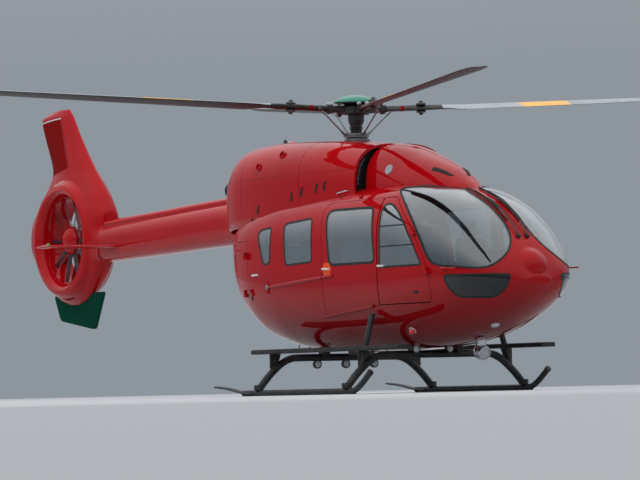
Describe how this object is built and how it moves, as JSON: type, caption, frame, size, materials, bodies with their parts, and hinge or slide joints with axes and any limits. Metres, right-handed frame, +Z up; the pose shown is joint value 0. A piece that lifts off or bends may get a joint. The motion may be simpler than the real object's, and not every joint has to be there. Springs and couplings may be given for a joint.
{
  "type": "light twin-engine helicopter",
  "caption": "Light twin-engine helicopter with a hingeless main rotor, a shrouded tail fan, skids, a glazed cabin, sliding side doors and clamshell rear doors.",
  "frame": {"origin": "on the ground, in the symmetry plane, under the middle of the whole length from the forward blade tip to the tail", "axes": "+X to the nose, +Y to the left, +Z up"},
  "size_m": [13.3318, 10.4334, 3.9],
  "materials": {
    "red_paint": "gloss",
    "dark_red_paint": "gloss",
    "black_paint": "satin",
    "grey_metal": "satin",
    "steel": "satin",
    "blade_composite": "matte",
    "teal_paint": "gloss",
    "green_paint": "satin",
    "clear_glass": "polished",
    "seat_cloth": "matte"
  },
  "bodies": {
    "airframe": {"underfloor_tub": "dark_red_paint", "door_sill_right": "dark_red_paint", "door_sill_left": "dark_red_paint", "cabin_roof": "red_paint", "aft_side_wall_right": "red_paint", "aft_side_wall_left": "red_paint", "sliding_door_right": "red_paint", "sliding_door_left": "red_paint", "nose": "red_paint", "forward_cowl": "red_paint", "engine_cowl": "red_paint", "tail_boom": "red_paint", "stabiliser": "red_paint", "tail_unit": "red_paint", "fin_flap": "red_paint", "fan_stator": "red_paint", "windshield_right": "clear_glass", "windshield_left": "clear_glass", "chin_window_right": "clear_glass", "chin_window_left": "clear_glass", "sliding_door_window_right": "clear_glass", "sliding_door_window_left": "clear_glass", "rear_window_right": "clear_glass", "rear_window_left": "clear_glass", "small_rear_window_right": "clear_glass", "small_rear_window_left": "clear_glass", "main_gearbox": "grey_metal", "engine_right": "grey_metal", "engine_left": "grey_metal", "swashplate_lower": "grey_metal", "searchlight": "steel", "exhaust_right": "black_paint", "exhaust_left": "black_paint", "skid_right": "black_paint", "skid_left": "black_paint", "cross_tube_rear": "black_paint", "cross_tube_front": "black_paint", "step_right": "black_paint", "step_left": "black_paint", "instrument_panel": "black_paint", "lower_fin": "green_paint", "pilot_seat_right": "seat_cloth", "pilot_seat_left": "seat_cloth", "cabin_seats_front": "seat_cloth", "cabin_seats_rear": "seat_cloth"},
    "main_rotor": {"mast_and_hub": "black_paint", "main_blade_1": "blade_composite", "main_blade_2": "blade_composite", "main_blade_3": "blade_composite", "main_blade_4": "blade_composite", "rotor_cap": "teal_paint", "swashplate_upper": "steel"},
    "tail_rotor": {"tail_rotor": "grey_metal"},
    "front_door_right": {"front_door_right": "red_paint", "front_door_window_right": "clear_glass"},
    "front_door_left": {"front_door_left": "red_paint", "front_door_window_left": "clear_glass"},
    "rear_door_right": {"rear_door_right": "red_paint"},
    "rear_door_left": {"rear_door_left": "red_paint"}
  },
  "joints": [
    {"name": "main_rotor_spin", "type": "hinge", "parent": "airframe", "child": "main_rotor", "pos_m": [1.444, 0, 3.36], "axis": [0.0349, 0, 0.9994], "continuous": true},
    {"name": "tail_rotor_spin", "type": "hinge", "parent": "airframe", "child": "tail_rotor", "pos_m": [-5.626, 0, 2.13], "axis": [0, 1, 0], "continuous": true},
    {"name": "front_door_right_hinge", "type": "hinge", "parent": "airframe", "child": "front_door_right", "pos_m": [3.856, -0.849, 1.8], "axis": [-0.5204, 0.0173, 0.8538], "range_deg": [0, 80]},
    {"name": "front_door_left_hinge", "type": "hinge", "parent": "airframe", "child": "front_door_left", "pos_m": [3.856, 0.849, 1.8], "axis": [0.5204, 0.0173, -0.8538], "range_deg": [0, 80]},
    {"name": "rear_door_right_hinge", "type": "hinge", "parent": "airframe", "child": "rear_door_right", "pos_m": [0.191, -0.842, 1.5], "axis": [0, 0, 1], "range_deg": [0, 100]},
    {"name": "rear_door_left_hinge", "type": "hinge", "parent": "airframe", "child": "rear_door_left", "pos_m": [0.191, 0.842, 1.5], "axis": [0, 0, -1], "range_deg": [0, 100]}
  ]
}
